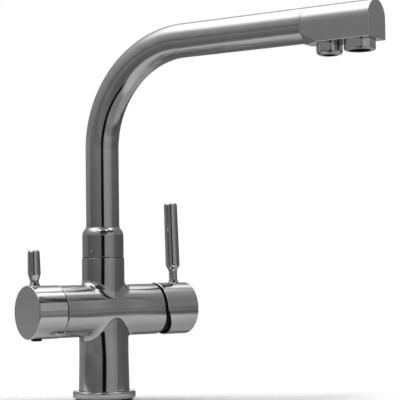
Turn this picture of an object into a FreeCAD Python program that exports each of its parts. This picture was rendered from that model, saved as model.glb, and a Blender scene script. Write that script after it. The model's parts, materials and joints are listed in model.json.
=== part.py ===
import FreeCAD, Part
import math
import os

import Sketcher
from FreeCAD import Placement, Rotation, Vector

# Three-way kitchen tap. Millimetres, +Z up, origin on the deck under the middle of the column.
# X runs along the cross barrel: the mixer is at +X, the filtered water valve at -X, the user at -Y.

SIZES = {
    # Base ring and its gasket
    "gasket_width": 47.0,
    "gasket_hole": 37.0,
    "gasket_height": 1.4,
    "flange_width": 52.6,
    "flange_height": 6.5,
    "flange_edge": 1.9,
    "flange_fit": 0.15,
    # Body casting: column, cross barrel and neck
    "column_width": 41.4,
    "column_foot_width": 42.7,
    "column_flare_height": 38.0,
    "cross_height": 74.5,
    "barrel_width": 43.4,
    "neck_width": 35.7,
    "neck_rise": 43.8,
    "neck_edge": 0.35,
    "cast_fillet": 4.0,
    "cast_saddle": 16.0,
    "rim_edge": 0.4,
    "filter_rim": 45.7,
    "mixer_rim": 48.1,
    "mixer_lip": 2.3,
    "mixer_lip_slope": 11.0,
    # Waterways and threads in the body
    "stud_width": 8.0,
    "stud_depth": 20.0,
    "inlet_width": 10.0,
    "inlet_depth": 14.0,
    "inlet_offset": 9.0,
    "inlet_spread": 16.0,
    "filter_inlet_offset": 12.0,
    "channel_width": 6.0,
    "port_drop": 6.0,
    "mixed_port_rise": 10.0,
    "mixed_riser_offset": 8.5,
    "filter_outlet_rise": 8.0,
    "filter_outlet_width": 3.6,
    # Swivel between body and spout
    "socket_depth": 21.3,
    "spigot_width": 26.0,
    "spigot_bore": 20.0,
    "spigot_end_gap": 1.2,
    "running_fit": 0.05,
    "swivel_ring_width": 34.2,
    "swivel_ring_height": 0.6,
    "seal_thickness": 1.4,
    "seal_groove_width": 2.2,
    "lower_seal_rise": 4.6,
    "upper_seal_rise": 16.0,
    "catch_rise": 10.3,
    "catch_groove_width": 4.6,
    "catch_groove_depth": 1.6,
    "spout_grub_width": 4.0,
    "spout_grub_length": 5.0,
    "spout_grub_tip_gap": 0.4,
    # Spout: collar, bent tube and arm
    "spout_turn": 20.8,
    "collar_width": 34.8,
    "collar_height": 21.3,
    "shoulder_height": 3.3,
    "shoulder_top_width": 28.6,
    "shoulder_lip": 1.4,
    "shoulder_round": 8.5,
    "shoulder_hollow": 1.8,
    "collar_edge": 0.35,
    "tube_width": 28.0,
    "tube_wall": 1.2,
    "tube_end_edge": 0.5,
    "tube_seat_rise": 5.0,
    "tube_fit": 0.05,
    "spout_height": 294.0,
    "bend_radius": 84.5,
    "arm_length": 200.5,
    # Outlet head
    "head_length": 58.5,
    "head_depth": 15.6,
    "head_wall": 3.5,
    "head_end_wall": 4.0,
    "head_spigot_length": 8.0,
    "facet_length": 13.5,
    "facet_drop": 8.2,
    "facet_inset": 8.6,
    "head_edge_break": 0.4,
    "head_end_edge": 0.5,
    # Outlets under the head
    "aerator_place": 43.7,
    "aerator_width": 24.1,
    "aerator_height": 7.9,
    "aerator_shank_width": 21.0,
    "aerator_bore": 18.4,
    "aerator_mouth": 16.6,
    "aerator_round": 1.5,
    "nozzle_place": 18.0,
    "nozzle_width": 20.3,
    "nozzle_height": 9.2,
    "nozzle_shank_width": 17.0,
    "nozzle_bore": 12.4,
    "nozzle_mouth": 10.8,
    "nozzle_round": 3.0,
    "shank_height": 5.0,
    "shank_fit": 0.1,
    "mouth_lip": 1.0,
    "insert_fit": 0.15,
    "outlet_washer_height": 1.4,
    "outlet_washer_hole": 7.6,
    # Filtered water tube through the spout
    "filter_tube_width": 7.0,
    "filter_tube_bore": 5.0,
    "filter_tube_socket": 9.0,
    "filter_tube_end_gap": 1.0,
    "filter_tube_drop_radius": 7.0,
    "filter_tube_seal_thickness": 1.2,
    # Mixer cartridge
    "chamber_floor": 16.0,
    "chamber_fit": 0.25,
    "port_seal_height": 1.0,
    "cartridge_width": 35.0,
    "cartridge_base_height": 5.0,
    "cartridge_length": 17.0,
    "cartridge_wall": 1.9,
    "cartridge_top_wall": 1.0,
    "cartridge_neck_width": 28.0,
    "cartridge_neck_length": 11.0,
    "disc_fit": 0.3,
    "fixed_disc_height": 4.0,
    "moving_disc_width": 19.0,
    "moving_disc_height": 4.0,
    "carrier_height": 4.0,
    "carrier_hole": 7.0,
    "turret_width": 25.7,
    "turret_flange_height": 3.2,
    "turret_gap": 0.4,
    "turret_length": 23.0,
    "turret_slot_width": 7.4,
    "turret_slot_height": 18.6,
    "pivot_place": 53.0,
    "stem_pin_width": 3.0,
    "stem_pin_length": 22.0,
    "stem_tip_width": 5.0,
    "stem_tip_arm": 21.6,
    "stem_step_arm": 8.0,
    "stem_width": 7.0,
    "stem_end": 78.0,
    "nut_width": 37.3,
    "nut_fit": 0.1,
    "nut_hole": 28.4,
    "nut_height": 5.5,
    # Dome behind the mixer handle
    "dome_width": 40.8,
    "dome_reach": 6.5,
    "dome_wall": 1.5,
    "dome_rim": 2.6,
    "dome_hole": 16.0,
    "dome_gap": 0.3,
    # Mixer handle and lever
    "mixer_handle_start": 51.0,
    "mixer_handle_end": 82.5,
    "mixer_handle_gap": 0.4,
    "mixer_handle_wall": 1.5,
    "mixer_handle_floor": 66.0,
    "mixer_relief": 9.4,
    "handle_edge": 1.1,
    "mixer_lever_place": 72.0,
    "mixer_lever_rake": 1.8,
    "mixer_lever_width": 12.2,
    "mixer_lever_tip_width": 11.5,
    "mixer_lever_length": 91.1,
    "mixer_lever_waist": 32.8,
    "mixer_lever_taper": 3.6,
    "lever_neck_width": 7.2,
    "lever_foot_flare": 0.9,
    "lever_foot_rise": 2.4,
    "lever_blend": 6.0,
    "lever_stud_width": 6.0,
    "lever_seat_depth": 0.9,
    "lever_seat_fit": 0.1,
    "lever_end_round": 2.2,
    "lever_stud_gap": 0.3,
    "handle_hole_gap": 0.9,
    # Filter valve
    "filter_floor": 16.0,
    "filter_chamber_width": 20.0,
    "filter_mouth_width": 28.0,
    "filter_mouth_place": 38.0,
    "filter_seat_height": 2.0,
    "filter_seat_width": 12.2,
    "filter_seat_hole": 6.6,
    "filter_disc_width": 14.2,
    "filter_disc_height": 2.6,
    "filter_disc_port": 4.0,
    "filter_disc_port_offset": 3.0,
    "filter_cup_width": 17.2,
    "filter_cup_bore": 14.6,
    "filter_cup_length": 14.0,
    "filter_thread_width": 19.8,
    "filter_valve_flange_width": 27.0,
    "filter_valve_flange_height": 4.0,
    "filter_valve_neck_width": 14.0,
    "filter_valve_neck_length": 3.0,
    "filter_window": 2.4,
    "spindle_width": 8.0,
    "spindle_foot_width": 13.0,
    "spindle_foot_height": 1.0,
    "spindle_foot_gap": 0.4,
    "spindle_end": 68.0,
    "spindle_seal_place": 30.0,
    "spindle_seal_thickness": 1.1,
    "spindle_seal_slack": 0.2,
    "spindle_clip_height": 1.0,
    "spindle_clip_width": 11.0,
    "spindle_clip_gap": 0.2,
    "spindle_groove_depth": 0.9,
    # Filter handle and lever
    "filter_handle_start": 46.5,
    "filter_handle_end": 72.8,
    "filter_handle_width": 43.9,
    "filter_handle_bore": 38.0,
    "filter_handle_floor": 57.0,
    "filter_boss_width": 16.0,
    "filter_boss_start": 50.0,
    "filter_lever_place": 65.0,
    "filter_lever_rake": 1.4,
    "filter_lever_width": 10.6,
    "filter_lever_tip_width": 9.8,
    "filter_lever_length": 50.7,
    "filter_lever_waist": 25.8,
    "filter_lever_taper": 5.2,
    "filter_grub_place": 64.1,
    "filter_grub_width": 5.0,
    "filter_grub_length": 8.0,
    "plug_width": 9.0,
    "plug_depth": 13.0,
    "plug_reach": 23.4,
    "plug_round": 1.2,
}

SAME_PLACE = 0.001
# A sketch's own numbers for the ends of a line, the centre of an arc, and its two axes
START, END, CENTRE = range(1, 4)
FLAT_AXIS, UPRIGHT_AXIS = range(-1, -3, -1)
ORIGIN_POINT = (FLAT_AXIS, START)
BOTH_SIDES = 2.0
OVERSHOOT = 1.0
QUARTER_TURN = 90
FULL_TURN = 360

UPRIGHT = Rotation()
HALF_TURN = Rotation(Vector(0, 0, 1), 2 * QUARTER_TURN)
TO_X = Rotation(Vector(0, 1, 0), QUARTER_TURN)
TO_Y = Rotation(Vector(1, 0, 0), -QUARTER_TURN)

doc = FreeCAD.newDocument("kitchen_tap")
sheet = doc.addObject("Spreadsheet::Sheet", "sizes")
pieces = []


class Size:
    """A length, as its value in millimetres and as the sheet formula that gives it."""

    def __init__(self, text, value):
        self.text = text
        self.value = value

    def join(self, sign, other, value):
        return Size("(%s %s %s)" % (self.text, sign, other.text), value)

    def __add__(self, other):
        other = as_size(other)
        return self.join("+", other, self.value + other.value)

    def __sub__(self, other):
        other = as_size(other)
        return self.join("-", other, self.value - other.value)

    def __mul__(self, other):
        other = as_size(other)
        return self.join("*", other, self.value * other.value)

    def __truediv__(self, other):
        other = as_size(other)
        return self.join("/", other, self.value / other.value)

    def __neg__(self):
        return Size("(0 - %s)" % self.text, -self.value)


def as_size(number):
    """Plain numbers join in with named sizes."""
    if isinstance(number, Size):
        return number
    return Size(repr(number), number)


def fill_sheet():
    """Writes each driving size into its own named cell."""
    for row, (name, value) in enumerate(SIZES.items(), start=1):
        sheet.set("A%d" % row, name)
        sheet.set("B%d" % row, repr(value))
        sheet.setAlias("B%d" % row, name)
    doc.recompute()


def size(name):
    return Size("sizes." + name, SIZES[name])


def half(name):
    return size(name) / 2


def tie(item, prop, amount):
    """Sets a property from a size and keeps it tied to the sheet."""
    item.setExpression(prop, as_size(amount).text)


def place(item, base, turn=UPRIGHT):
    base = [as_size(amount) for amount in base]
    item.Placement = Placement(Vector(*[amount.value for amount in base]), turn)
    for letter, amount in zip("xyz", base):
        tie(item, "Placement.Base." + letter, amount)


def place_turned(item, base, axis, angle):
    """Places an item turned about an axis by an angle from the sheet."""
    place(item, base, Rotation(axis, angle.value))
    tie(item, "Placement.Rotation.Angle", angle)


def new_body(label):
    body = doc.addObject("PartDesign::Body", label)
    body.Label = label
    pieces.append(body)
    return body


def new_sketch(body, name, role, offset=None):
    """A sketch on one of the body's own planes, moved along the plane's normal."""
    sketch = body.newObject("Sketcher::SketchObject", name)
    plane = [item for item in body.Origin.OriginFeatures if item.Role == role][0]
    sketch.AttachmentSupport = [(plane, "")]
    sketch.MapMode = "FlatFace"
    if offset is not None:
        tie(sketch, "AttachmentOffset.Base.z", offset)
    return sketch


def tie_point(sketch, line, end, across, up):
    """Fixes one end of a line at a place that comes from sizes."""
    for kind, axis, amount in (("DistanceX", UPRIGHT_AXIS, across), ("DistanceY", FLAT_AXIS, up)):
        if amount.value == 0:
            sketch.addConstraint(Sketcher.Constraint("PointOnObject", line, end, axis))
            continue
        rule = Sketcher.Constraint(kind, *ORIGIN_POINT, line, end, amount.value)
        tie(sketch, "Constraints[%d]" % sketch.addConstraint(rule), amount)


def draw_outline(sketch, points):
    """A closed outline of straight lines, each corner tied to its sizes."""
    points = [(as_size(across), as_size(up)) for across, up in points]
    corners = [Vector(across.value, up.value, 0) for across, up in points]
    count = len(corners)
    for index in range(count):
        sketch.addGeometry(Part.LineSegment(corners[index], corners[(index + 1) % count]))
    for index in range(count):
        sketch.addConstraint(Sketcher.Constraint("Coincident", index, END, (index + 1) % count, START))
    for index, (across, up) in enumerate(points):
        tie_point(sketch, index, START, across, up)


def draw_circle(sketch, radius):
    """A circle about the sketch's own origin."""
    index = sketch.addGeometry(Part.Circle(Vector(), Vector(0, 0, 1), radius.value))
    sketch.addConstraint(Sketcher.Constraint("Coincident", index, CENTRE, *ORIGIN_POINT))
    rule = sketch.addConstraint(Sketcher.Constraint("Radius", index, radius.value))
    tie(sketch, "Constraints[%d]" % rule, radius)


def spin(body, outline, upright):
    """Turns an outline of (radius, distance along the axis) about Z, or about X."""
    sketch = new_sketch(body, body.Label + "_outline", "XZ_Plane")
    draw_outline(sketch, outline if upright else [(along, radius) for radius, along in outline])
    turned = body.newObject("PartDesign::Revolution", body.Label + "_turned")
    turned.Profile = sketch
    turned.ReferenceAxis = (sketch, ["V_Axis" if upright else "H_Axis"])
    turned.Angle = FULL_TURN


def turned_upright(label, outline):
    body = new_body(label)
    spin(body, outline, True)
    return body


def turned_across(label, outline, left=False):
    """A turned piece on the cross axis. Pieces of the left end are drawn with X pointing outwards."""
    body = new_body(label)
    spin(body, outline, False)
    place(body, (0, 0, size("cross_height")), HALF_TURN if left else UPRIGHT)
    return body


def ring_outline(outer, inner, start, end):
    """Outline of a plain ring or bush."""
    return [(inner, start), (outer, start), (outer, end), (inner, end)]


def disc_outline(radius, start, end):
    return [(0, start), (radius, start), (radius, end), (0, end)]


def cylinder(body, kind, name, radius, length, base, turn):
    item = body.newObject("PartDesign::%sCylinder" % kind, name)
    tie(item, "Radius", radius)
    tie(item, "Height", length)
    place(item, base, turn)
    return item


def drill(body, name, radius, length, base, turn=UPRIGHT):
    return cylinder(body, "Subtractive", name, radius, length, base, turn)


def slot(body, name, sides, corner):
    """Cuts a box-shaped slot, from its lowest corner."""
    item = body.newObject("PartDesign::SubtractiveBox", name)
    for prop, amount in zip(("Length", "Width", "Height"), sides):
        tie(item, prop, amount)
    place(item, corner)


def cut_across(body, name, outline):
    """Cuts an outline in the XZ plane right through the body, along Y."""
    sketch = new_sketch(body, name + "_outline", "XZ_Plane")
    draw_outline(sketch, outline)
    pocket = body.newObject("PartDesign::Pocket", name)
    pocket.Profile = sketch
    pocket.Type = "ThroughAll"
    pocket.SideType = "Symmetric"


def dress(body, kind, name, amount, wanted):
    """Fillets or chamfers the edges that the test picks."""
    doc.recompute()
    base = body.Tip
    edges = ["Edge%d" % (index + 1) for index, edge in enumerate(base.Shape.Edges) if wanted(edge)]
    if not edges:
        raise RuntimeError("no edge found for " + name)
    item = body.newObject("PartDesign::" + kind, name)
    item.Base = (base, edges)
    tie(item, "Radius" if kind == "Fillet" else "Size", amount)


def is_ring(edge, radius, axis, along):
    """True for a circular edge of that radius, at that distance along an axis of its body."""
    curve = edge.Curve
    if not isinstance(curve, Part.Circle) or curve.Axis.cross(axis).Length > SAME_PLACE:
        return False
    same_radius = abs(curve.Radius - radius.value) < SAME_PLACE
    return same_radius and abs(curve.Center.dot(axis) - along.value) < SAME_PLACE


def rings(axis, *places):
    """Picks circular edges, each given as (radius, distance along the axis)."""
    return lambda edge: any(is_ring(edge, radius, axis, along) for radius, along in places)


ALONG_X = Vector(1, 0, 0)
ALONG_Z = Vector(0, 0, 1)

fill_sheet()

# Places that several pieces share

foot = size("gasket_height")
cross = size("cross_height")
neck_top = cross + size("neck_rise")
socket_floor = neck_top - size("socket_depth")
socket_radius = half("spigot_width") + size("running_fit")
collar_foot = neck_top + size("swivel_ring_height")
collar_top = collar_foot + size("collar_height")
shoulder_top = collar_top + size("shoulder_height")
tube_seat = collar_foot + size("tube_seat_rise")
head_end = size("arm_length") + size("head_length")
head_bottom = -size("head_depth")
channel = half("channel_width")
filter_tube_hole = half("filter_tube_width") + size("running_fit")
filter_tube_floor = socket_floor - size("filter_tube_socket")
mixer_edge = size("mixer_rim") + size("mixer_lip")
disc_floor = size("chamber_floor") + size("port_seal_height") + size("cartridge_base_height")
nut_seat = disc_floor + size("cartridge_length")
pivot = size("pivot_place")
mixer_bore = half("dome_width") + size("mixer_handle_gap")
handle_radius = {"mixer": mixer_bore + size("mixer_handle_wall"), "filter": half("filter_handle_width")}
outlet_place = {name: size("arm_length") + size(name + "_place") for name in ("aerator", "nozzle")}
spout_lean = as_size(QUARTER_TURN) - size("spout_turn")


def spout_place(body, height=0):
    """Spout pieces are drawn with the arm along X and swung to where it points."""
    place_turned(body, (0, 0, height), Vector(0, 0, -1), spout_lean)


def ports(body, start, length):
    """The two inlet ports and the mixed outlet port, along the cross axis."""
    low = -size("port_drop")
    side = half("inlet_spread")
    high = size("mixed_port_rise")
    for name, across, up in (("cold_port", side, low), ("hot_port", -side, low), ("mixed_port", 0, high)):
        drill(body, body.Label + "_" + name, channel, length, (start, across, up), TO_X)


def base_pieces():
    turned_upright("base_gasket", ring_outline(half("gasket_width"), half("gasket_hole"), 0, foot))
    outer = half("flange_width")
    inner = half("column_foot_width") + size("flange_fit")
    top = foot + size("flange_height")
    flange = turned_upright("base_flange", ring_outline(outer, inner, foot, top))
    corners = rings(ALONG_Z, (outer, foot), (outer, top))
    dress(flange, "Fillet", "flange_rounded", size("flange_edge"), corners)


def is_cast_corner(edge):
    """The curved seams where column and neck run into the barrel."""
    middle = edge.valueAt((edge.FirstParameter + edge.LastParameter) / 2)
    level = abs(middle.z - cross.value)
    reach = half("barrel_width").value
    inside = abs(middle.x) < reach and SAME_PLACE < level < reach
    return inside and not isinstance(edge.Curve, (Part.Line, Part.Circle))


def casting():
    """Column, neck and barrel in one, their corners tight at the sides and wide over the front and back."""
    column = half("column_width")
    neck = half("neck_width")
    flare = foot + size("column_flare_height")
    blank = turned_upright("casting_blank", [
        (0, foot), (half("column_foot_width"), foot), (column, flare), (column, cross),
        (neck, cross), (neck, neck_top), (0, neck_top)])
    pieces.remove(blank)
    barrel = half("barrel_width")
    left = -size("filter_rim")
    cylinder(blank, "Additive", "barrel", barrel, mixer_edge - left, (left, 0, cross), TO_X)
    dress(blank, "Fillet", "neck_rounded", size("neck_edge"), rings(ALONG_Z, (neck, neck_top)))
    dress(blank, "Chamfer", "filter_rim_break", size("rim_edge"), rings(ALONG_X, (barrel, left)))
    whole = doc.addObject("Part::MultiFuse", "casting_in_quarters")
    whole.Refine = False
    whole.Shapes = [quarter(blank, name, *corner) for name, corner in quarter_corners().items()]
    doc.recompute()
    soft = doc.addObject("Part::Fillet", "cast_corners")
    soft.Base = whole
    soft.Edges = [(index, corner_radius(edge, edge.FirstParameter), corner_radius(edge, edge.LastParameter))
                  for index, edge in enumerate(whole.Shape.Edges, start=1) if is_cast_corner(edge)]
    return soft


def quarter_corners():
    """Lowest corners of four blocks that meet on the column's axis and hold the casting."""
    far = -neck_top
    return {"front_left": (far, far), "front_right": (0, far), "back_left": (far, 0), "back_right": (0, 0)}


def quarter(blank, name, across, back):
    """A quarter of the casting, so that its corner seams end where their radius is given."""
    block = doc.addObject("Part::Box", name + "_block")
    for prop in ("Length", "Width", "Height"):
        tie(block, prop, neck_top)
    place(block, (across, back, 0))
    part = doc.addObject("Part::Common", name + "_quarter")
    part.Base = blank
    part.Tool = block
    return part


def corner_radius(edge, parameter):
    at_side = abs(edge.valueAt(parameter).y) < SAME_PLACE
    return SIZES["cast_fillet" if at_side else "cast_saddle"]


def tap_body():
    body = new_body("tap_body")
    body.BaseFeature = casting()
    rim = size("mixer_rim")
    past = mixer_edge + OVERSHOOT
    above = cross + half("barrel_width") + OVERSHOOT
    cut_across(body, "mixer_rim_cut", [
        (rim, cross), (mixer_edge, cross - size("mixer_lip_slope")), (past, cross - size("mixer_lip_slope")),
        (past, above), (rim, above)])
    mixer_chamber(body)
    filter_chamber(body)
    spout_socket(body)
    underside(body)


def mixer_chamber(body):
    floor = size("chamber_floor")
    radius = half("cartridge_width") + size("chamber_fit")
    drill(body, "cartridge_chamber", radius, mixer_edge - floor, (floor, 0, cross), TO_X)
    thread_start = nut_seat - size("chamber_fit")
    thread_radius = half("nut_width") + size("nut_fit")
    drill(body, "nut_thread", thread_radius, mixer_edge - thread_start, (thread_start, 0, cross), TO_X)
    lip_radius = half("dome_width") + size("dome_gap")
    drill(body, "lip_bore", lip_radius, size("mixer_lip") + OVERSHOOT, (size("mixer_rim"), 0, cross), TO_X)
    side = half("inlet_spread")
    start = size("inlet_offset")
    low = cross - size("port_drop")
    for name, across in (("cold", side), ("hot", -side)):
        drill(body, name + "_riser", channel, low - foot, (start, across, foot))
        drill(body, name + "_port", channel, floor - start + OVERSHOOT, (start, across, low), TO_X)
    mixed = cross + size("mixed_port_rise")
    riser = size("mixed_riser_offset")
    drill(body, "mixed_port", channel, floor - riser + OVERSHOOT, (riser, 0, mixed), TO_X)
    drill(body, "mixed_riser", channel, socket_floor - mixed + OVERSHOOT, (riser, 0, mixed))


def filter_chamber(body):
    rim = size("filter_rim")
    floor = size("filter_floor")
    mouth = size("filter_mouth_place")
    drill(body, "filter_bore", half("filter_chamber_width"), rim - floor, (-rim, 0, cross), TO_X)
    drill(body, "filter_mouth", half("filter_mouth_width"), rim - mouth, (-rim, 0, cross), TO_X)
    inlet = size("filter_inlet_offset")
    drill(body, "filter_riser", channel, cross - foot, (-inlet, 0, foot))
    drill(body, "filter_inlet", channel, floor - inlet + OVERSHOOT, (-floor - OVERSHOOT, 0, cross), TO_X)
    level = cross + size("filter_outlet_rise")
    thin = half("filter_outlet_width")
    drill(body, "filter_outlet", thin, floor + OVERSHOOT, (-floor - OVERSHOOT, 0, level), TO_X)
    drill(body, "filter_outlet_riser", thin, filter_tube_floor - level + OVERSHOOT, (0, 0, level))


def spout_socket(body):
    drill(body, "socket", socket_radius, size("socket_depth"), (0, 0, socket_floor))
    drill(body, "filter_tube_hole", filter_tube_hole, size("filter_tube_socket") + OVERSHOOT,
          (0, 0, filter_tube_floor))
    drill(body, "catch_hole", half("spout_grub_width") + size("running_fit"), half("neck_width"),
          (0, 0, socket_floor + size("catch_rise")), TO_Y)


def underside(body):
    drill(body, "stud_thread", half("stud_width"), size("stud_depth"), (0, 0, foot))
    side = half("inlet_spread")
    out = size("inlet_offset")
    back = -size("filter_inlet_offset")
    inlets = (("cold_inlet", out, side), ("hot_inlet", out, -side), ("filter_supply", back, 0))
    for name, across, sideways in inlets:
        drill(body, name, half("inlet_width"), size("inlet_depth"), (across, sideways, foot))


def swivel_pieces():
    outer = half("swivel_ring_width")
    turned_upright("swivel_ring", ring_outline(outer, socket_radius, neck_top, collar_foot))
    grub = new_body("spout_grub_screw")
    catch = socket_floor + size("catch_rise")
    tip = half("spigot_width") - size("catch_groove_depth") + size("spout_grub_tip_gap")
    cylinder(grub, "Additive", "grub_shank", half("spout_grub_width"), size("spout_grub_length"),
             (0, tip, catch), TO_Y)
    thick = half("seal_thickness")
    ring_radius = half("spigot_width") - thick
    seals = doc.addObject("Part::Compound", "swivel_seals")
    seals.Label = "swivel_seals"
    seals.Links = [torus("swivel_" + rise, ring_radius, thick, (0, 0, socket_floor + size(rise)))
                   for rise in ("lower_seal_rise", "upper_seal_rise")]
    pieces.append(seals)
    thin = half("filter_tube_seal_thickness")
    tube = half("filter_tube_width")
    pieces.append(torus("filter_tube_seal", tube + thin, thin, (0, 0, socket_floor + thin)))


def torus(label, radius, thickness, base, turn=UPRIGHT):
    ring = doc.addObject("Part::Torus", label)
    ring.Label = label
    tie(ring, "Radius1", radius)
    tie(ring, "Radius2", thickness)
    place(ring, base, turn)
    return ring


def spout_collar():
    outer = half("collar_width")
    spigot = half("spigot_width")
    bore = half("spigot_bore")
    start = socket_floor + size("spigot_end_gap")
    socket = half("tube_width") + size("tube_fit")
    outline = [(bore, start), (spigot, start)]
    seal_depth = size("seal_thickness") + size("running_fit")
    catch_depth = size("catch_groove_depth")
    grooves = (("lower_seal_rise", seal_depth, "seal_groove_width"),
               ("catch_rise", catch_depth, "catch_groove_width"),
               ("upper_seal_rise", seal_depth, "seal_groove_width"))
    for rise, depth, width in grooves:
        low = socket_floor + size(rise) - half(width)
        high = low + size(width)
        outline += [(spigot, low), (spigot - depth, low), (spigot - depth, high), (spigot, high)]
    lip = half("shoulder_top_width")
    lip_top = shoulder_top + size("shoulder_lip")
    outline += [(spigot, collar_foot), (outer, collar_foot), (outer, collar_top), (lip, shoulder_top),
                (lip, lip_top), (socket, lip_top), (socket, tube_seat), (bore, tube_seat)]
    body = turned_upright("spout_collar", outline)
    dress(body, "Fillet", "shoulder_rounded", size("shoulder_round"), rings(ALONG_Z, (outer, collar_top)))
    dress(body, "Fillet", "shoulder_hollowed", size("shoulder_hollow"), rings(ALONG_Z, (lip, shoulder_top)))
    dress(body, "Fillet", "collar_foot_rounded", size("collar_edge"), rings(ALONG_Z, (outer, collar_foot)))
    spout_place(body)


def pipe(label, radius, bore, points, bends, start):
    """A tube along straight runs and tangent arcs in the XZ plane, hollow from end to end."""
    body = new_body(label)
    path = new_sketch(body, label + "_path", "XZ_Plane")
    draw_path(path, points, bends)
    section = new_sketch(body, label + "_section", "XY_Plane", start)
    draw_circle(section, radius)
    draw_circle(section, bore)
    sweep = body.newObject("PartDesign::AdditivePipe", label + "_swept")
    sweep.Profile = section
    sweep.Spine = path
    spout_place(body)
    return body


def draw_path(sketch, points, bends):
    """Runs between the points, with a quarter arc of the given radius at each corner between them."""
    points = [(as_size(across), as_size(up)) for across, up in points]
    corners = [Vector(across.value, up.value, 0) for across, up in points]
    ends = []
    for index, radius in enumerate(bends, start=1):
        here = corners[index]
        before = (corners[index - 1] - here).normalize() * radius.value
        after = (corners[index + 1] - here).normalize() * radius.value
        ends.append((here + before, here + before + after, here + after))
    starts = [corners[0]] + [after for before, centre, after in ends]
    stops = [before for before, centre, after in ends] + [corners[-1]]
    runs = [sketch.addGeometry(Part.LineSegment(start, stop)) for start, stop in zip(starts, stops)]
    for index, radius in enumerate(bends):
        before, centre, after = ends[index]
        middle = centre + (corners[index + 1] - centre).normalize() * radius.value
        arc = sketch.addGeometry(Part.Arc(before, middle, after))
        arc_start = START if sketch.getPoint(arc, START).isEqual(before, SAME_PLACE) else END
        sketch.addConstraint(Sketcher.Constraint("Tangent", runs[index], END, arc, arc_start))
        arc_end = START + END - arc_start
        sketch.addConstraint(Sketcher.Constraint("Tangent", arc, arc_end, runs[index + 1], START))
        rule = sketch.addConstraint(Sketcher.Constraint("Radius", arc, radius.value))
        tie(sketch, "Constraints[%d]" % rule, radius)
    for index, run in enumerate(runs):
        level = abs(corners[index].y - corners[index + 1].y) < SAME_PLACE
        sketch.addConstraint(Sketcher.Constraint("Horizontal" if level else "Vertical", run))
    tie_point(sketch, runs[0], START, *points[0])
    tie_point(sketch, runs[-1], END, *points[-1])
    for (across, up), run in list(zip(points, runs))[1:-1]:
        rule = sketch.addConstraint(Sketcher.Constraint("DistanceY", *ORIGIN_POINT, run, START, up.value))
        tie(sketch, "Constraints[%d]" % rule, up)


def spout_tubes():
    top = size("spout_height")
    bend = size("bend_radius")
    radius = half("tube_width")
    tube = pipe("spout_tube", radius, radius - size("tube_wall"),
                [(0, tube_seat), (0, top), (size("arm_length"), top)], [bend], tube_seat)
    far_ring = rings(ALONG_X, (radius, size("arm_length")))
    dress(tube, "Chamfer", "tube_end_break", size("tube_end_edge"), far_ring)
    start = filter_tube_floor + size("filter_tube_end_gap")
    outlet = outlet_place["nozzle"]
    end = top + head_bottom + size("shank_height") + size("outlet_washer_height")
    pipe("filter_tube", half("filter_tube_width"), half("filter_tube_bore"),
         [(0, start), (0, top), (outlet, top), (outlet, end)], [bend, size("filter_tube_drop_radius")], start)


def draw_arch(sketch, inset, drop):
    """The head's section: round above, flat sides, and lower corners cut by inset and drop."""
    wide = half("tube_width")
    deep = head_bottom
    middle = as_size(0)
    corners = [(-wide, middle), (-wide, deep + drop), (inset - wide, deep),
               (wide - inset, deep), (wide, deep + drop), (wide, middle)]
    spots = [Vector(across.value, up.value, 0) for across, up in corners]
    for start, stop in zip(spots, spots[1:]):
        sketch.addGeometry(Part.LineSegment(start, stop))
    last = len(spots) - 2
    arc = sketch.addGeometry(Part.Arc(spots[-1], Vector(0, wide.value, 0), spots[0]))
    for index in range(last):
        sketch.addConstraint(Sketcher.Constraint("Coincident", index, END, index + 1, START))
    sketch.addConstraint(Sketcher.Constraint("Coincident", last, END, arc, START))
    sketch.addConstraint(Sketcher.Constraint("Coincident", arc, END, 0, START))
    for index, (across, up) in enumerate(corners[:-1]):
        tie_point(sketch, index, START, across, up)
    tie_point(sketch, last, END, *corners[-1])
    sketch.addConstraint(Sketcher.Constraint("PointOnObject", arc, CENTRE, FLAT_AXIS))


def outlet_head():
    body = new_body("outlet_head")
    seam = size("arm_length")
    square = seam + size("facet_length")
    small = size("head_edge_break")
    rear = new_sketch(body, "head_rear", "YZ_Plane", seam)
    draw_arch(rear, size("facet_inset"), size("facet_drop"))
    full = new_sketch(body, "head_full", "YZ_Plane", square)
    draw_arch(full, small * size("facet_inset") / size("facet_drop"), small)
    loft = body.newObject("PartDesign::AdditiveLoft", "head_facets")
    loft.Profile = rear
    loft.Sections = [full]
    loft.Ruled = True
    front = new_sketch(body, "head_front", "YZ_Plane", square)
    draw_arch(front, small * size("facet_inset") / size("facet_drop"), small)
    pad = body.newObject("PartDesign::Pad", "head_block")
    pad.Profile = front
    tie(pad, "Length", head_end - square)
    dress(body, "Fillet", "head_end_rounded", size("head_end_edge"), at_head_end)
    spigot = half("tube_width") - size("tube_wall") - size("tube_fit")
    length = size("head_spigot_length")
    cylinder(body, "Additive", "head_spigot", spigot, length + OVERSHOOT, (seam - length, 0, 0), TO_X)
    bore = half("tube_width") - size("head_wall")
    cavity = head_end - size("head_end_wall") - seam + length
    drill(body, "head_cavity", bore, cavity, (seam - length, 0, 0), TO_X)
    for name in ("aerator", "nozzle"):
        radius = half(name + "_shank_width") + size("shank_fit")
        drill(body, name + "_thread", radius, size("head_depth"), (outlet_place[name], 0, head_bottom))
    spout_place(body, size("spout_height"))


def at_head_end(edge):
    box = edge.BoundBox
    return abs(box.XMin - head_end.value) < SAME_PLACE and abs(box.XMax - head_end.value) < SAME_PLACE


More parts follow.
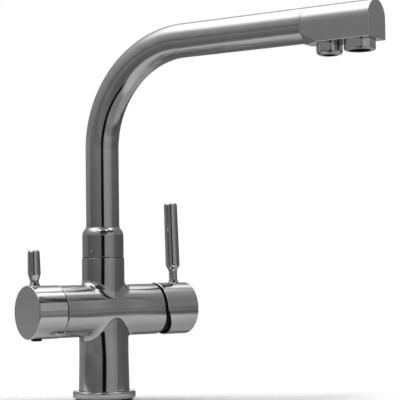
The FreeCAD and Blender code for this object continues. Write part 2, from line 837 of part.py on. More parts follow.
def outlet(name, housing_label, insert_label, washer_label):
    """One outlet: housing screwed into the head, insert inside it, washer above its shank."""
    outer = half(name + "_width")
    shank = half(name + "_shank_width")
    bore = half(name + "_bore")
    mouth = half(name + "_mouth")
    bottom = head_bottom - size(name + "_height")
    top = head_bottom + size("shank_height")
    lip = bottom + size("mouth_lip")
    housing = turned_upright(housing_label, [
        (mouth, bottom), (outer, bottom), (outer, head_bottom), (shank, head_bottom), (shank, top),
        (bore, top), (bore, lip), (mouth, lip)])
    dress(housing, "Fillet", name + "_rounded", size(name + "_round"), rings(ALONG_Z, (outer, bottom)))
    fit = bore - size("insert_fit")
    insert = turned_upright(insert_label, disc_outline(fit, lip, top))
    washer_top = top + size("outlet_washer_height")
    washer = turned_upright(washer_label, ring_outline(shank, half("outlet_washer_hole"), top, washer_top))
    for piece in (housing, insert, washer):
        swing_out(piece, outlet_place[name])


def swing_out(piece, along):
    """Swings an outlet piece with the spout, out to its place on the arm."""
    angle = math.radians(spout_lean.value)
    across = along.join("*", Size("cos(%s)" % spout_lean.text, 0), along.value * math.cos(angle))
    forward = along.join("*", Size("sin(%s)" % spout_lean.text, 0), along.value * math.sin(angle))
    place_turned(piece, (across, -forward, size("spout_height")), Vector(0, 0, -1), spout_lean)


def cartridge_pieces():
    floor = size("chamber_floor")
    wide = half("cartridge_width")
    base_start = floor + size("port_seal_height")
    seal = turned_across("port_seal", disc_outline(wide, floor, base_start))
    ports(seal, floor, size("port_seal_height"))
    base = turned_across("cartridge_base", disc_outline(wide, base_start, disc_floor))
    ports(base, base_start, size("cartridge_base_height"))
    inner = wide - size("cartridge_wall")
    neck = half("cartridge_neck_width")
    bush = half("turret_width") + size("running_fit")
    shoulder = nut_seat - size("cartridge_top_wall")
    neck_end = nut_seat + size("cartridge_neck_length")
    turned_across("cartridge_housing", [
        (inner, disc_floor), (wide, disc_floor), (wide, nut_seat), (neck, nut_seat), (neck, neck_end),
        (bush, neck_end), (bush, shoulder), (inner, shoulder)])
    disc_top = disc_floor + size("fixed_disc_height")
    disc = turned_across("fixed_disc", disc_outline(inner - size("disc_fit"), disc_floor, disc_top))
    ports(disc, disc_floor, size("fixed_disc_height"))
    moving_top = disc_top + size("moving_disc_height")
    slider = half("moving_disc_width")
    turned_across("moving_disc", disc_outline(slider, disc_top, moving_top))
    carrier_top = moving_top + size("carrier_height")
    turned_across("disc_carrier", ring_outline(slider, half("carrier_hole"), moving_top, carrier_top))
    nut_end = nut_seat + size("nut_height")
    turned_across("retaining_nut", ring_outline(half("nut_width"), half("nut_hole"), nut_seat, nut_end))
    turret(inner - size("disc_fit"), shoulder - size("turret_gap"))
    stem()
    dome()


def turret(flange, flange_end):
    """The turning holder of the stem, kept in the housing by its flange."""
    start = flange_end - size("turret_flange_height")
    shaft = half("turret_width")
    end = start + size("turret_length")
    body = turned_across("cartridge_turret", [
        (0, start), (flange, start), (flange, flange_end), (shaft, flange_end), (shaft, end), (0, end)])
    wide = size("turret_slot_width")
    tall = size("turret_slot_height")
    long = size("turret_length") + OVERSHOOT * BOTH_SIDES
    slot(body, "stem_slot", (long, wide, tall), (start - OVERSHOOT, -wide / 2, -tall / 2))
    drill(body, "pin_hole", half("stem_pin_width"), size("turret_width"), (pivot, -shaft, 0), TO_Y)
    pin = new_body("stem_pin")
    length = size("stem_pin_length")
    cylinder(pin, "Additive", "pin_shank", half("stem_pin_width"), length, (pivot, -length / 2, cross), TO_Y)


def stem():
    tip = half("stem_tip_width")
    wide = half("stem_width")
    start = pivot - size("stem_tip_arm")
    step = pivot - size("stem_step_arm")
    body = turned_across("mixer_stem", [
        (0, start), (tip, start), (tip, step), (wide, step), (wide, size("stem_end")), (0, size("stem_end"))])
    pin = half("stem_pin_width") + size("running_fit")
    drill(body, "stem_pin_hole", pin, size("stem_width"), (pivot, -wide, 0), TO_Y)


def dome():
    """Round cover about the stem's pivot, so the handle can turn and tilt close over it."""
    body = new_body("dome_cover")
    radius = half("dome_width")
    start = size("mixer_rim")
    end = pivot + size("dome_reach")
    ball = body.newObject("PartDesign::AdditiveSphere", "dome_ball")
    tie(ball, "Radius", radius)
    place(ball, (pivot, 0, 0))
    block = size("dome_width")
    for name, corner in (("back_cut", start - block), ("front_cut", end)):
        slot(body, name, (block, block, block), (corner, -radius, -radius))
    drill(body, "dome_bore", radius - size("dome_rim"), end - size("dome_wall") - start, (start, 0, 0), TO_X)
    drill(body, "dome_hole", half("dome_hole"), end - start, (start, 0, 0), TO_X)
    place(body, (0, 0, cross))


def lever_hole(body, name, along, rake, tilt):
    """Stud hole for a lever, with a round seat for the lever's foot."""
    reach = handle_radius[name]
    stud = half("lever_stud_width") + size("running_fit")
    seat = half("lever_neck_width") + size("lever_foot_flare") + size("lever_seat_fit")
    bottom = reach - size("lever_seat_depth")
    shank = drill(body, name + "_stud_hole", stud, reach + OVERSHOOT, (along, 0, 0))
    place_turned(shank, (along, 0, 0), tilt, rake)
    spot = drill(body, name + "_lever_seat", seat, size("lever_seat_depth") + OVERSHOOT, (along, 0, 0))
    angle = math.radians(rake.value)
    lean = bottom.join("*", Size("sin(%s)" % rake.text, 0), bottom.value * math.sin(angle))
    rise = bottom.join("*", Size("cos(%s)" % rake.text, 0), bottom.value * math.cos(angle))
    shifted = along + lean if tilt.y > 0 else along - lean
    place_turned(spot, (shifted, 0, rise), tilt, rake)


def mixer_handle():
    outer = handle_radius["mixer"]
    bore = mixer_bore
    hole = half("stem_width") + size("running_fit")
    start = size("mixer_handle_start")
    end = size("mixer_handle_end")
    floor = size("mixer_handle_floor")
    hole_end = size("stem_end") + size("handle_hole_gap")
    body = turned_across("mixer_handle", [
        (bore, start), (outer, start), (outer, end), (0, end), (0, hole_end), (hole, hole_end),
        (hole, floor), (bore, floor)])
    dress(body, "Fillet", "mixer_handle_rounded", size("handle_edge"), rings(ALONG_X, (outer, end)))
    dress(body, "Chamfer", "mixer_rim_break", size("rim_edge"), rings(ALONG_X, (outer, start)))
    low = -outer - OVERSHOOT
    slope_end = start + size("mixer_relief")
    cut_across(body, "tilt_relief", [
        (start, 0), (slope_end, -outer), (slope_end, low), (start - OVERSHOOT, low), (start - OVERSHOOT, 0)])
    lever_hole(body, "mixer", size("mixer_lever_place"), size("mixer_lever_rake"), Vector(0, -1, 0))


def lever(name, along, tip, shaft):
    """A turned lever rod: stud that stops short of the shaft, flared foot, slim neck, rod and rounded end."""
    stud = half("lever_stud_width")
    stud_end = shaft + size("lever_stud_gap")
    neck = half("lever_neck_width")
    wide = half(name + "_lever_width")
    foot_width = neck + size("lever_foot_flare")
    foot_top = handle_radius[name]
    seat = foot_top - size("lever_seat_depth")
    waist = size(name + "_lever_waist")
    shoulder = waist + size(name + "_lever_taper")
    end = size(name + "_lever_length")
    body = turned_upright(name + "_lever", [
        (0, stud_end), (stud, stud_end), (stud, seat), (foot_width, seat), (foot_width, foot_top),
        (neck, foot_top + size("lever_foot_rise")), (neck, waist), (wide, shoulder), (tip, end), (0, end)])
    dress(body, "Fillet", name + "_lever_blended", size("lever_blend"),
          rings(ALONG_Z, (neck, waist), (wide, shoulder)))
    dress(body, "Fillet", name + "_lever_rounded", size("lever_end_round"), rings(ALONG_Z, (tip, end)))
    place_turned(body, (along, 0, cross), Vector(0, -1, 0), size(name + "_lever_rake"))


def filter_pieces():
    floor = size("filter_floor")
    fixed = floor + size("filter_seat_height")
    moving = fixed + size("filter_disc_height")
    foot_start = moving + size("filter_disc_height")
    foot_end = foot_start + size("spindle_foot_height")
    mouth = size("filter_mouth_place")
    disc = half("filter_disc_width")
    washer = ring_outline(half("filter_seat_width"), half("filter_seat_hole"), floor, fixed)
    turned_across("filter_seat_washer", washer, True)
    away = size("filter_disc_port_offset")
    thick = size("filter_disc_height")
    port = half("filter_disc_port")
    discs = (("filter_fixed_disc", fixed, 0, away), ("filter_moving_disc", moving, -away, 0))
    for label, start, side, up in discs:
        piece = turned_across(label, disc_outline(disc, start, start + thick), True)
        drill(piece, label + "_port", port, thick, (start, side, up), TO_X)
    valve_body(fixed, foot_end + size("spindle_foot_gap"), mouth)
    spindle(foot_start, foot_end)


def valve_body(start, cup_end, mouth):
    cup = half("filter_cup_width")
    cup_bore = half("filter_cup_bore")
    thread = half("filter_thread_width")
    flange = half("filter_valve_flange_width")
    neck = half("filter_valve_neck_width")
    bore = half("spindle_width") + size("running_fit")
    thread_start = start + size("filter_cup_length")
    flange_end = mouth + size("filter_valve_flange_height")
    neck_end = flange_end + size("filter_valve_neck_length")
    body = turned_across("filter_valve_body", [
        (cup_bore, start), (cup, start), (cup, thread_start), (thread, thread_start), (thread, mouth),
        (flange, mouth), (flange, flange_end), (neck, flange_end), (neck, neck_end), (bore, neck_end),
        (bore, cup_end), (cup_bore, cup_end)], True)
    drill(body, "cup_window", half("filter_window"), size("filter_cup_width"),
          (start + size("filter_disc_height") + half("filter_window"), -cup, 0), TO_Y)


def spindle(foot_start, foot_end):
    shaft = half("spindle_width")
    seal = size("spindle_seal_place")
    groove = shaft - size("spindle_seal_thickness") - size("running_fit")
    wide = size("spindle_seal_thickness") + size("spindle_seal_slack")
    mouth = size("filter_mouth_place")
    neck_end = mouth + size("filter_valve_flange_height") + size("filter_valve_neck_length")
    clip = neck_end + size("spindle_clip_gap")
    clip_end = clip + size("spindle_clip_height")
    catch = shaft - size("spindle_groove_depth")
    foot_wide = half("spindle_foot_width")
    end = size("spindle_end")
    turned_across("filter_spindle", [
        (0, foot_start), (foot_wide, foot_start), (foot_wide, foot_end), (shaft, foot_end),
        (shaft, seal - wide / 2), (groove, seal - wide / 2),
        (groove, seal + wide / 2), (shaft, seal + wide / 2),
        (shaft, clip), (catch, clip), (catch, clip_end), (shaft, clip_end), (shaft, end), (0, end)], True)
    clip_ring = ring_outline(half("spindle_clip_width"), catch + size("running_fit"), clip, clip_end)
    turned_across("spindle_clip", clip_ring, True)
    thick = half("spindle_seal_thickness")
    pieces.append(torus("spindle_seal", shaft - thick, thick, (-seal, 0, cross), TO_X))


def filter_handle():
    outer = handle_radius["filter"]
    bore = half("filter_handle_bore")
    boss = half("filter_boss_width")
    hole = half("spindle_width") + size("running_fit")
    start = size("filter_handle_start")
    end = size("filter_handle_end")
    floor = size("filter_handle_floor")
    hole_end = size("spindle_end") + size("handle_hole_gap")
    boss_start = size("filter_boss_start")
    body = turned_across("filter_handle", [
        (bore, start), (outer, start), (outer, end), (0, end), (0, hole_end), (hole, hole_end),
        (hole, boss_start), (boss, boss_start), (boss, floor), (bore, floor)], True)
    dress(body, "Fillet", "filter_handle_rounded", size("handle_edge"), rings(ALONG_X, (outer, end)))
    dress(body, "Chamfer", "filter_handle_rim_break", size("rim_edge"), rings(ALONG_X, (outer, start)))
    lever_hole(body, "filter", size("filter_lever_place"), size("filter_lever_rake"), Vector(0, 1, 0))
    grub = size("filter_grub_place")
    drill(body, "grub_hole", half("filter_grub_width") + size("running_fit"), outer, (grub, 0, -outer))
    plug = half("plug_width") + size("running_fit")
    drill(body, "plug_hole", plug, outer, (grub, 0, -outer - size("plug_depth")))
    plug_and_screw(grub)


def plug_and_screw(grub):
    tip = half("spindle_width") + size("running_fit")
    screw = new_body("filter_grub_screw")
    length = size("filter_grub_length")
    cylinder(screw, "Additive", "filter_grub_shank", half("filter_grub_width"), length,
             (-grub, 0, cross - tip - length), UPRIGHT)
    plug = new_body("filter_screw_plug")
    radius = half("plug_width")
    bottom = cross - size("plug_reach")
    height = size("plug_reach") - size("plug_depth")
    cylinder(plug, "Additive", "plug_block", radius, height, (-grub, 0, bottom), UPRIGHT)
    dress(plug, "Fillet", "plug_rounded", size("plug_round"), rings(ALONG_Z, (radius, bottom)))


def check_and_write():
    """Writes each piece to its own file, once every feature and shape is sound."""
    doc.recompute()
    for item in doc.Objects:
        if "Invalid" in item.State or "Error" in item.State:
            raise RuntimeError("failed feature: " + item.Label)
    for piece in pieces:
        if piece.Shape.isNull() or not piece.Shape.isValid() or not piece.Shape.Solids:
            raise RuntimeError("bad shape: " + piece.Label)
    os.makedirs("parts", exist_ok=True)
    for piece in pieces:
        piece.Shape.exportStep("parts/%s.step" % piece.Label)


base_pieces()
tap_body()
swivel_pieces()
spout_collar()
spout_tubes()
outlet_head()
outlet("aerator", "aerator_housing", "aerator_insert", "aerator_washer")
outlet("nozzle", "filter_nozzle", "nozzle_insert", "nozzle_washer")
cartridge_pieces()
mixer_handle()
lever("mixer", size("mixer_lever_place"), half("mixer_lever_tip_width"), half("stem_width"))
filter_pieces()
filter_handle()
lever("filter", -size("filter_lever_place"), half("filter_lever_tip_width"), half("spindle_width"))
check_and_write()
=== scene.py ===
import json
import math

import bmesh
import bpy
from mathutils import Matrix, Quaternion, Vector


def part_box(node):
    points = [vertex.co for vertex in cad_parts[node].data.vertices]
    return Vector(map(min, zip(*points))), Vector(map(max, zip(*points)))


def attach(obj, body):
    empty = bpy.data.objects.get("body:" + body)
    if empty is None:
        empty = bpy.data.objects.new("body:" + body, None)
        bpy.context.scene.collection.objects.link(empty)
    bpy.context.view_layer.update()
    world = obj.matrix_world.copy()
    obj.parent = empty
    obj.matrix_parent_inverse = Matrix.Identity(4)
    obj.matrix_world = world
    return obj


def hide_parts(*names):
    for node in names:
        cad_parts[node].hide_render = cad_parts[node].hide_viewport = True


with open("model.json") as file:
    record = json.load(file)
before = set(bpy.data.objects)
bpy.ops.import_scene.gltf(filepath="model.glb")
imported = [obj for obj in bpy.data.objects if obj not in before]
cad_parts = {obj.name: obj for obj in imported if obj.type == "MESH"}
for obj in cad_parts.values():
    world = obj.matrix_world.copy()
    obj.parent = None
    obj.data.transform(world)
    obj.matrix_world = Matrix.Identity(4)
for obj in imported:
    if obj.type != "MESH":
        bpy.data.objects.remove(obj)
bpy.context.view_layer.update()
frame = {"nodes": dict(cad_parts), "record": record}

scene = bpy.context.scene
nodes = frame["nodes"]
slot_of = {row["node"]: row["material_slot"] for row in frame["record"]["subparts"]}

# Camera: where it stands, which way it looks, and its lens
CAMERA_PLACE = Vector((-0.6198, -1.0061, 0.1099))
CAMERA_YAW = math.radians(35.62)
CAMERA_PITCH = math.radians(2.73)
CAMERA_ROLL = math.radians(-0.73)
CAMERA_LENS_MM = 126.0
CAMERA_SENSOR_MM = 36.0

# The studio is a brightness for each direction from the object, where 1.0 is white.
# Bearings are in degrees to the right, from straight behind the object.
# Heights are the upward part of a direction, from -1 straight down to 1 straight up.
# A pair of edges says where a change starts and where it is complete.

# Bright ceiling with a dark middle, and a softbox behind on the left that reaches lower
TOP_LIGHT = 2.3
CEILING_EDGES = (0.80, 0.89)
ZENITH_EDGES = (0.935, 0.965)
ZENITH_TONE = 0.22
SOFTBOX_BEARING = -50
SOFTBOX_HALF_WIDTH = (95, 70)
SOFTBOX_EDGES = (0.56, 0.88)

# White backdrop behind the object
BACKDROP_TONE = 1.0
BACKDROP_EDGES = (11, 9.3)
BACKDROP_TOP = (0.34, 0.22)
BACKDROP_FOOT = (-0.125, -0.10)

# Walls on either side: height and brightness, where they rise from the horizon, and the bearings between them
LEFT_WALLS = ((0.0, 0.27), (0.12, 0.29), (0.22, 0.31), (0.31, 0.35), (0.41, 0.40), (0.49, 0.44),
              (0.57, 0.52), (0.65, 0.57), (1.0, 0.57))
RIGHT_WALLS = ((0.0, 0.24), (0.12, 0.27), (0.22, 0.29), (0.35, 0.29), (0.50, 0.28), (0.62, 0.31),
               (0.72, 0.38), (0.80, 0.45), (1.0, 0.45))
WALL_EDGES = (0.085, 0.17)
WALL_CHANGE = (-30, 30)

# Low room on four sides: brightness at two heights, those heights, and the bearings from one side to the next
LEFT_LOW = (0.28, 0.175)
FRONT_LEFT_LOW = (0.235, 0.16)
RIGHT_LOW = (0.42, 0.46)
FRONT_RIGHT_LOW = (0.44, 0.31)
LOW_HEIGHTS = (-0.08, -0.55)
FRONT_LEFT_CHANGE = (-122, -142)
RIGHT_CHANGE = (6, 26)
FRONT_RIGHT_CHANGE = (100, 130)
# Where the low room takes over from the horizon; on the right it starts lower, with a darker strip above it
LEFT_LOW_EDGES = (-0.05, -0.12)
RIGHT_LOW_EDGES = (-0.28, -0.38)
STRIP_EDGES = (-0.10, -0.18)
STRIP_SHARES = (1.0, 0.70)
# The share of the low room's brightness that is left straight down, except on the right
DEEP_EDGES = (-0.80, -0.96)
DEEP_SHARES = (1.0, 0.2)
# The share that is left in a dark slit behind the camera, from its middle outwards
SLIT_BEARING = 176.3
SLIT_HALF_WIDTH = (7.2, 9.4)
SLIT_SHARES = (0.02, 1.0)

# Bearing and brightness at the horizon
ROUND_THE_ROOM = (
    (-180, 0.005), (-176, 0.005), (-174, 0.19), (-160, 0.21), (-145, 0.19), (-120, 0.165),
    (-92, 0.15), (-84, 0.265), (-11, 0.265), (-9.5, 1.0), (9.5, 1.0), (11, 0.145), (63, 0.15),
    (93, 0.175), (108.5, 0.205), (111.5, 0.29), (115, 0.34), (122, 0.37), (128, 0.40), (138, 0.455),
    (165, 0.42), (168.5, 0.005), (180, 0.005),
)
# The horizon is darkest at one height, and lighter above and below it
LIFT_MIDDLE = 0.016
LIFT_EDGES = (0.0, 0.10)
LEFT_LIFT = (1.0, 1.42)
RIGHT_LIFT = (0.92, 1.08)

# Light panel in front on the right, with a dark band above it; its edge away from the camera leans over
PANEL_TONE = 0.50
BAND_TONE = 0.03
PANEL_START = (112.0, 113.8)
PANEL_LEAN = math.radians(42.5)
PANEL_LEAN_POWER = 3.0
PANEL_END = (168, 160)
PANEL_FOOT = (0.07, 0.14)
PANEL_TOP = (0.61, 0.55)
BAND_TOP = (0.80, 0.74)

# Dark flag above the camera
FLAG_TONE = 0.06
FLAG_BEARING = 172
FLAG_HALF_WIDTH = (27, 17)
FLAG_FOOT = (0.20, 0.40)
FLAG_TOP = (0.97, 0.90)

# Floor: its size, its tones and grain, and where it fades out, away from the object and behind it
FLOOR_SIZE = 12.0
FLOOR_TONES = (0.9114, 0.9486)
FLOOR_GRAINS = 60.0
FLOOR_DETAIL = 4.0
FLOOR_FADE = (0.17, 0.25)
FLOOR_BEHIND = (-0.02, 0.05)

# Finishes: two tones, two roughnesses, how many cloudy patches and how many grains to a metre,
# the depth of the grain in metres, how metallic and how glossy
FINISHES = {
    "chrome": ((0.53, 0.53, 0.535), (0.57, 0.57, 0.57), (0.05, 0.09), 35, 900, 4e-6, 1.0, 0.5),
    "spout_chrome": ((0.48, 0.48, 0.485), (0.61, 0.61, 0.61), (0.04, 0.10), 75, 900, 4e-6, 1.0, 0.5),
    "cast_chrome": ((0.46, 0.46, 0.465), (0.51, 0.51, 0.51), (0.05, 0.10), 30, 900, 5e-6, 1.0, 0.5),
    "bare_brass": ((0.58, 0.40, 0.17), (0.70, 0.50, 0.24), (0.20, 0.34), 90, 1500, 3e-5, 1.0, 0.5),
    "steel": ((0.48, 0.48, 0.49), (0.57, 0.57, 0.58), (0.18, 0.30), 120, 2000, 2e-5, 1.0, 0.5),
    "seal_rubber": ((0.012, 0.012, 0.012), (0.03, 0.03, 0.03), (0.55, 0.75), 160, 2400, 6e-5, 0.0, 0.3),
    # Black plastic is near black with little gloss; the dome in the gap between the body and the mixer handle
    # is partly real black plastic and partly painted shade for that deep gap
    "black_plastic": ((0.004, 0.004, 0.004), (0.009, 0.009, 0.009), (0.5, 0.65), 140, 2600, 4e-5, 0.0, 0.15),
    "pale_plastic": ((0.70, 0.70, 0.68), (0.82, 0.82, 0.80), (0.35, 0.48), 130, 2200, 3e-5, 0.0, 0.5),
    "disc_ceramic": ((0.79, 0.78, 0.75), (0.88, 0.87, 0.84), (0.12, 0.22), 200, 3000, 1e-5, 0.0, 0.5),
}
CLOUD_DETAIL = 5.0
GRAIN_DETAIL = 3.0
# Noise lies mostly within this range, about this middle
NOISE_RANGE = (0.3, 0.7)
NOISE_MIDDLE = 0.5
# Polishing leaves shallow waves in the casting: how many to a metre, how they are drawn out along the barrel,
# their depth in metres away from the barrel and on it, and where that changes, above and below its axis
WAVES = 38.0
WAVE_DETAIL = 0.0
WAVE_STRETCH = (0.4, 1.0, 1.0)
WAVE_DEPTHS = (0.0010, 0.0020)
BARREL_EDGES = (0.026, 0.017)
# The polish is softer along the arm: from which height, and how much roughness that adds
SOFT_HEIGHT = (0.262, 0.284)
SOFT_ROUGHNESS = (0.0, 0.12)
# Painted shade on the inside of the caps: its tone and roughness, and how far under the round outside and
# behind the end it starts
INSIDE_SHADE_TONE = (0.03, 0.03, 0.03)
INSIDE_SHADE_ROUGHNESS = 0.7
INSIDE_SHADE_RADIUS = (0.0003, 0.0007)
INSIDE_SHADE_END = (0.002, 0.003)

# Honeycomb screens in the outlets: cells in a web, which ends at a margin, and a rim that overlaps it
CELL_WIDTH = 0.0019
CELL_WALL = 0.00035
CELL_CORNERS = [math.radians(angle) for angle in range(30, 390, 60)]
JOIN_DISTANCE = 0.000035
WEB_MARGIN = 0.00035
RIM_WIDTH = 0.0014
RIM_STEPS = 64


def add(tree, kind, inputs=None, **settings):
    """One shader node, with its settings, and its inputs set to values or linked to sockets."""
    item = tree.nodes.new(kind)
    for name, value in settings.items():
        setattr(item, name, value)
    for name, value in (inputs or {}).items():
        if isinstance(value, bpy.types.NodeSocket):
            tree.links.new(value, item.inputs[name])
        else:
            item.inputs[name].default_value = value
    return item


def calculate(tree, operation, *values):
    return add(tree, "ShaderNodeMath", dict(enumerate(values)), operation=operation).outputs[0]


def vector_maths(tree, operation, output, *values):
    return add(tree, "ShaderNodeVectorMath", dict(enumerate(values)), operation=operation).outputs[output]


def part_of(tree, vector, axis):
    return add(tree, "ShaderNodeSeparateXYZ", {"Vector": vector}).outputs[axis]


def noise(tree, place, scale, detail):
    return add(tree, "ShaderNodeTexNoise", {"Vector": place, "Scale": scale, "Detail": detail}).outputs["Fac"]


def product(tree, *values):
    total = values[0]
    for value in values[1:]:
        total = calculate(tree, "MULTIPLY", total, value)
    return total


def ease(tree, value, edges, start=0.0, end=1.0):
    """Runs smoothly from start to end while the value goes from one edge to the other."""
    item = add(tree, "ShaderNodeMapRange", {"Value": value, "From Min": edges[0], "From Max": edges[1],
                                            "To Min": start, "To Max": end}, interpolation_type="SMOOTHSTEP")
    return item.outputs["Result"]


def mix_values(tree, share, first, second):
    item = add(tree, "ShaderNodeMix", {"Factor": share, "A": first, "B": second}, data_type="FLOAT")
    return item.outputs[0]


def mix_colours(tree, share, first, second):
    """Mixes colours given as three numbers or as a socket; 6, 7 and 2 are the mix node's colour sockets."""
    ends = [end if isinstance(end, bpy.types.NodeSocket) else (*end, 1) for end in (first, second)]
    return add(tree, "ShaderNodeMix", {0: share, 6: ends[0], 7: ends[1]}, data_type="RGBA").outputs[2]


def fresh_tree(owner):
    owner.use_nodes = True
    owner.node_tree.nodes.clear()
    return owner.node_tree


def radians(edges):
    return [math.radians(angle) for angle in edges]


def make_camera():
    data = bpy.data.cameras.new("camera")
    data.lens = CAMERA_LENS_MM
    data.sensor_width = CAMERA_SENSOR_MM
    camera = bpy.data.objects.new("camera", data)
    scene.collection.objects.link(camera)
    level = math.cos(CAMERA_PITCH)
    forward = Vector((level * math.sin(CAMERA_YAW), level * math.cos(CAMERA_YAW), math.sin(CAMERA_PITCH)))
    camera.rotation_mode = "QUATERNION"
    roll = Quaternion((0, 0, 1), CAMERA_ROLL)
    camera.rotation_quaternion = forward.to_track_quat("-Z", "Y") @ roll
    camera.location = CAMERA_PLACE
    scene.camera = camera


def bearing_from(tree, direction, degrees):
    """Angle of a direction, seen from above, to the right of a bearing."""
    turn = CAMERA_YAW + math.radians(degrees)
    turned = add(tree, "ShaderNodeVectorRotate", {"Vector": direction, "Angle": turn}, rotation_type="Z_AXIS")
    parts = add(tree, "ShaderNodeSeparateXYZ", {"Vector": turned.outputs["Vector"]})
    return calculate(tree, "ARCTAN2", parts.outputs["X"], parts.outputs["Y"])


def aside_from(tree, direction, degrees):
    """Angle of a direction, seen from above, to either side of a bearing."""
    return calculate(tree, "ABSOLUTE", bearing_from(tree, direction, degrees))


def ramp_tone(tree, value, stops):
    """Tone that runs through stops of place and tone, from place 0 to place 1."""
    item = add(tree, "ShaderNodeValToRGB", {"Fac": value})
    elements = item.color_ramp.elements
    for place, _ in stops[1:-1]:
        elements.new(place)
    for element, (place, tone) in zip(elements, stops):
        element.position = place
        element.color = (tone, tone, tone, 1.0)
    return item.outputs["Color"]


def high_room(tree, bearing, height):
    """Tone of the room at the horizon and of the walls above it."""
    circle_share = calculate(tree, "MULTIPLY_ADD", bearing, 0.5 / math.pi, 0.5)
    circle_stops = [((angle + 180) / 360, tone) for angle, tone in ROUND_THE_ROOM]
    round_the_room = ramp_tone(tree, circle_share, circle_stops)
    off_middle = calculate(tree, "ABSOLUTE", calculate(tree, "SUBTRACT", height, LIFT_MIDDLE))
    on_right = ease(tree, bearing, radians(WALL_CHANGE))
    lifts = [ease(tree, off_middle, LIFT_EDGES, *tones) for tones in (LEFT_LIFT, RIGHT_LIFT)]
    horizon = product(tree, round_the_room, mix_values(tree, on_right, *lifts))
    sides = [ramp_tone(tree, height, stops) for stops in (LEFT_WALLS, RIGHT_WALLS)]
    return mix_values(tree, ease(tree, height, WALL_EDGES), horizon, mix_values(tree, on_right, *sides))


def low_room(tree, bearing, height, to_right):
    """Tone of the room below the horizon."""
    left, front_left, right, front_right = [
        ease(tree, height, LOW_HEIGHTS, *tones)
        for tones in (LEFT_LOW, FRONT_LEFT_LOW, RIGHT_LOW, FRONT_RIGHT_LOW)]
    deep = ease(tree, height, DEEP_EDGES, *DEEP_SHARES)
    to_front_left = ease(tree, bearing, radians(FRONT_LEFT_CHANGE))
    to_front_right = ease(tree, bearing, radians(FRONT_RIGHT_CHANGE))
    tone = product(tree, mix_values(tree, to_front_left, left, front_left), deep)
    tone = mix_values(tree, to_right, tone, right)
    return mix_values(tree, to_front_right, tone, product(tree, front_right, deep))


def room_tone(tree, direction, bearing, height):
    """Tone of the room, from straight down to the ceiling."""
    to_right = ease(tree, bearing, radians(RIGHT_CHANGE))
    high = high_room(tree, bearing, height)
    strip = ease(tree, height, STRIP_EDGES, *STRIP_SHARES)
    high = mix_values(tree, to_right, high, product(tree, high, strip))
    off_slit = aside_from(tree, direction, SLIT_BEARING)
    slit = ease(tree, off_slit, radians(SLIT_HALF_WIDTH), *SLIT_SHARES)
    low = product(tree, low_room(tree, bearing, height, to_right), slit)
    starts = [ease(tree, height, edges) for edges in (LEFT_LOW_EDGES, RIGHT_LOW_EDGES)]
    return mix_values(tree, mix_values(tree, to_right, *starts), high, low)


def make_world():
    """A studio: grey room, light panel, white backdrop, bright ceiling and softbox, dark flag."""
    world = bpy.data.worlds.new("studio")
    scene.world = world
    tree = fresh_tree(world)
    direction = add(tree, "ShaderNodeTexCoord").outputs["Generated"]
    height = part_of(tree, direction, "Z")
    bearing = bearing_from(tree, direction, 0)
    tone = room_tone(tree, direction, bearing, height)
    lean = calculate(tree, "MULTIPLY", calculate(tree, "POWER", height, PANEL_LEAN_POWER), PANEL_LEAN)
    leaning = calculate(tree, "ADD", lean, bearing)
    panel = product(tree, ease(tree, leaning, radians(PANEL_START)), ease(tree, bearing, radians(PANEL_END)),
                    ease(tree, height, PANEL_FOOT), ease(tree, height, BAND_TOP))
    tone = mix_values(tree, panel, tone, ease(tree, height, PANEL_TOP, BAND_TONE, PANEL_TONE))
    aside = calculate(tree, "ABSOLUTE", bearing)
    backdrop = product(tree, ease(tree, aside, radians(BACKDROP_EDGES)), ease(tree, height, BACKDROP_TOP),
                       ease(tree, height, BACKDROP_FOOT))
    tone = mix_values(tree, backdrop, tone, BACKDROP_TONE)
    off_softbox = aside_from(tree, direction, SOFTBOX_BEARING)
    softbox = product(tree, ease(tree, off_softbox, radians(SOFTBOX_HALF_WIDTH)),
                      ease(tree, height, SOFTBOX_EDGES))
    lit = calculate(tree, "MAXIMUM", softbox, ease(tree, height, CEILING_EDGES))
    tone = mix_values(tree, lit, tone, TOP_LIGHT)
    tone = mix_values(tree, ease(tree, height, ZENITH_EDGES), tone, ZENITH_TONE)
    off_flag = aside_from(tree, direction, FLAG_BEARING)
    flag = product(tree, ease(tree, off_flag, radians(FLAG_HALF_WIDTH)), ease(tree, height, FLAG_FOOT),
                   ease(tree, height, FLAG_TOP))
    tone = mix_values(tree, flag, tone, FLAG_TONE)
    background = add(tree, "ShaderNodeBackground", {"Color": tone, "Strength": 1.0})
    add(tree, "ShaderNodeOutputWorld", {"Surface": background.outputs["Background"]})


def make_floor():
    """Pale floor round the object, which fades out in front of the white backdrop."""
    mesh = bpy.data.meshes.new("floor")
    far = FLOOR_SIZE / 2
    mesh.from_pydata([(-far, -far, 0), (far, -far, 0), (far, far, 0), (-far, far, 0)], [], [(0, 1, 2, 3)])
    floor = bpy.data.objects.new("floor", mesh)
    scene.collection.objects.link(floor)
    material = bpy.data.materials.new("floor")
    tree = fresh_tree(material)
    place = add(tree, "ShaderNodeTexCoord").outputs["Object"]
    grain = noise(tree, place, FLOOR_GRAINS, FLOOR_DETAIL)
    diffuse = add(tree, "ShaderNodeBsdfDiffuse", {"Color": ease(tree, grain, NOISE_RANGE, *FLOOR_TONES)})
    away = vector_maths(tree, "LENGTH", "Value", place)
    backwards = (math.sin(CAMERA_YAW), math.cos(CAMERA_YAW), 0)
    behind = vector_maths(tree, "DOT_PRODUCT", "Value", place, backwards)
    fade = calculate(tree, "MAXIMUM", ease(tree, away, FLOOR_FADE), ease(tree, behind, FLOOR_BEHIND))
    clear = add(tree, "ShaderNodeBsdfTransparent")
    shader = add(tree, "ShaderNodeMixShader", {"Fac": fade, 1: diffuse.outputs[0], 2: clear.outputs[0]})
    add(tree, "ShaderNodeOutputMaterial", {"Surface": shader.outputs[0]})
    mesh.materials.append(material)


